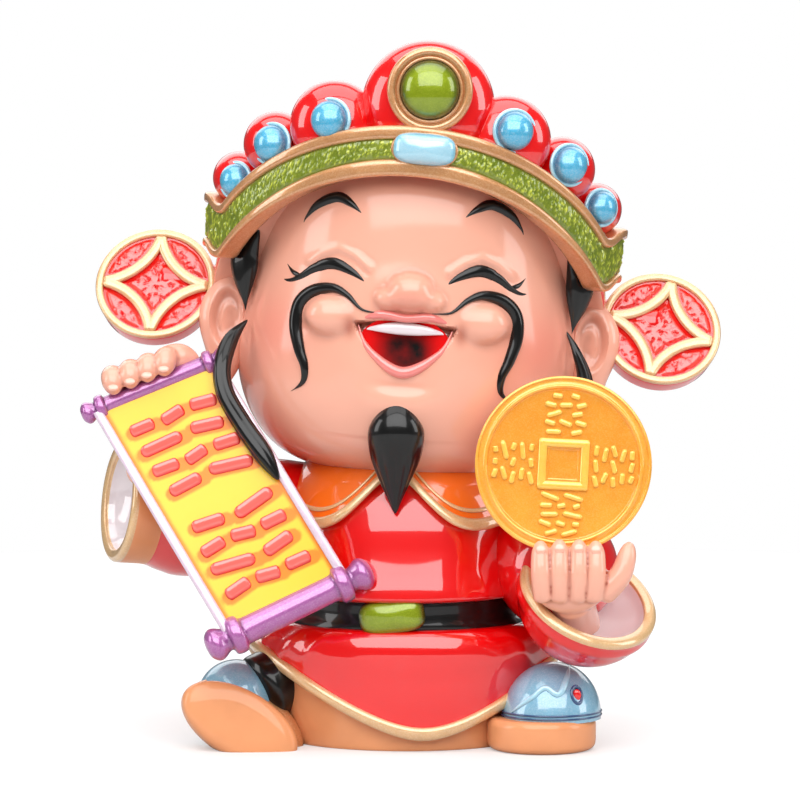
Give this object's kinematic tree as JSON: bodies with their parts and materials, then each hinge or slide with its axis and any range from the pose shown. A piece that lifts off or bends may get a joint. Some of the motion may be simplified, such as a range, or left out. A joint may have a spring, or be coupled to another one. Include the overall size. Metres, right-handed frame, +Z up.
{
  "type": "god of wealth figurine",
  "caption": "Big-headed laughing god-of-wealth figurine in glossy painted resin, with a winged hat, a scroll held up in one hand and a coin in the other.",
  "frame": {"origin": "middle of the flat underside, under the body, on the surface it stands on", "axes": "+Z up, -Y the way the figure faces, +X to its left hand, which holds the coin"},
  "size_m": [0.1461, 0.0819, 0.1598],
  "materials": {
    "painted_resin": "cast resin, hand-painted in red, gold, skin, blue, green and black under a thick clear gloss lacquer"
  },
  "bodies": {
    "root": {"caishen_figure": "painted_resin"}
  },
  "joints": []
}
